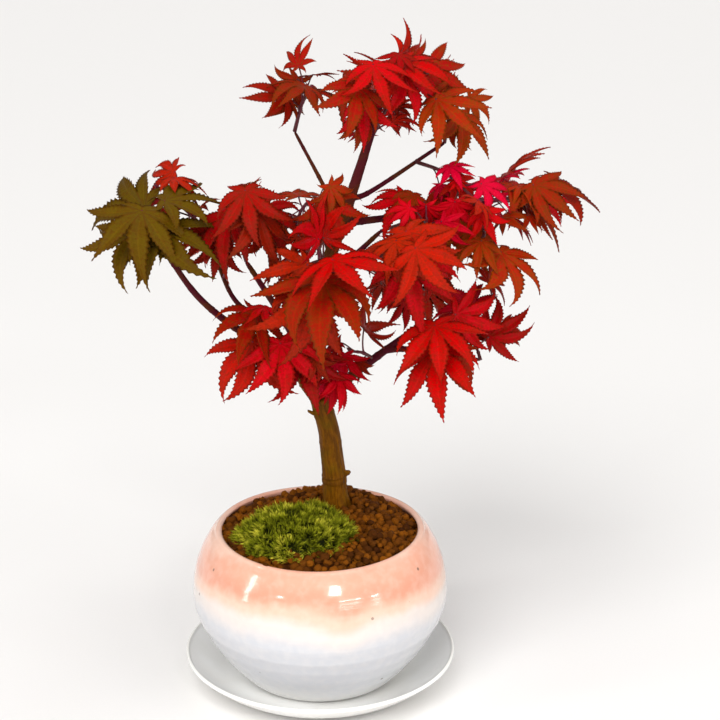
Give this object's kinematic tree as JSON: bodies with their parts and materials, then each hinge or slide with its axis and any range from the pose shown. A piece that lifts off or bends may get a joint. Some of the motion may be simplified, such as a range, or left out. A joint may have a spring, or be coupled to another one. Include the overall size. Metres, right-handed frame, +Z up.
{
  "type": "potted japanese maple",
  "caption": "Small red-leaved Japanese maple with a leaning trunk, in a round glazed pot on a saucer, with soil and a moss clump.",
  "frame": {"origin": "centre of the saucer's flat underside", "axes": "+Z up the pot's axis, -Y towards the tree's front, +X to the right seen from the front"},
  "size_m": [0.226, 0.1731, 0.3085],
  "materials": {
    "saucer": "gloss",
    "pot": "gloss",
    "soil": "matte",
    "moss": "matte",
    "bark": "satin",
    "twig": "satin",
    "leaves_olive": "satin",
    "leaves_red": "satin",
    "leaves_rust": "satin",
    "leaves_orange": "satin",
    "leaves_crimson": "satin",
    "leaves_dark": "satin"
  },
  "bodies": {
    "root": {"saucer": "saucer", "pot": "pot", "soil": "soil", "moss": "moss", "trunk": "bark", "leader": "bark", "left_bough": "twig", "left_twig": "twig", "right_bough": "twig", "right_arm": "twig", "middle_bough": "twig", "upper_bough": "twig", "high_twig": "twig", "top_left_twig": "twig", "front_bough": "twig", "back_left_bough": "twig", "back_right_bough": "twig", "back_high_bough": "twig", "leaves_left_outer": "leaves_olive", "leaves_apex": "leaves_red", "leaves_apex_left": "leaves_red", "leaves_apex_right": "leaves_rust", "leaves_top_left": "leaves_rust", "leaves_top_right": "leaves_orange", "leaves_top_right_low": "leaves_crimson", "leaves_left_top": "leaves_red", "leaves_left_middle": "leaves_dark", "leaves_centre": "leaves_red", "leaves_centre_top": "leaves_orange", "leaves_lower_left": "leaves_red", "leaves_lower_front": "leaves_dark", "leaves_lower_centre": "leaves_crimson", "leaves_middle_right": "leaves_red", "leaves_middle_far": "leaves_crimson", "leaves_middle_low": "leaves_dark", "leaves_right_top": "leaves_rust", "leaves_right_hang": "leaves_orange", "leaves_right_top_near": "leaves_red", "leaves_right_low": "leaves_red", "leaves_right_low_far": "leaves_crimson", "leaves_right_outer": "leaves_crimson", "leaves_back_left": "leaves_red", "leaves_back_left_low": "leaves_dark", "leaves_back_right": "leaves_red", "leaves_back_right_low": "leaves_dark", "leaves_back_far_right": "leaves_crimson", "leaves_back_far_left": "leaves_rust", "leaves_back_high": "leaves_rust", "leaves_back_top": "leaves_red"}
  },
  "joints": []
}
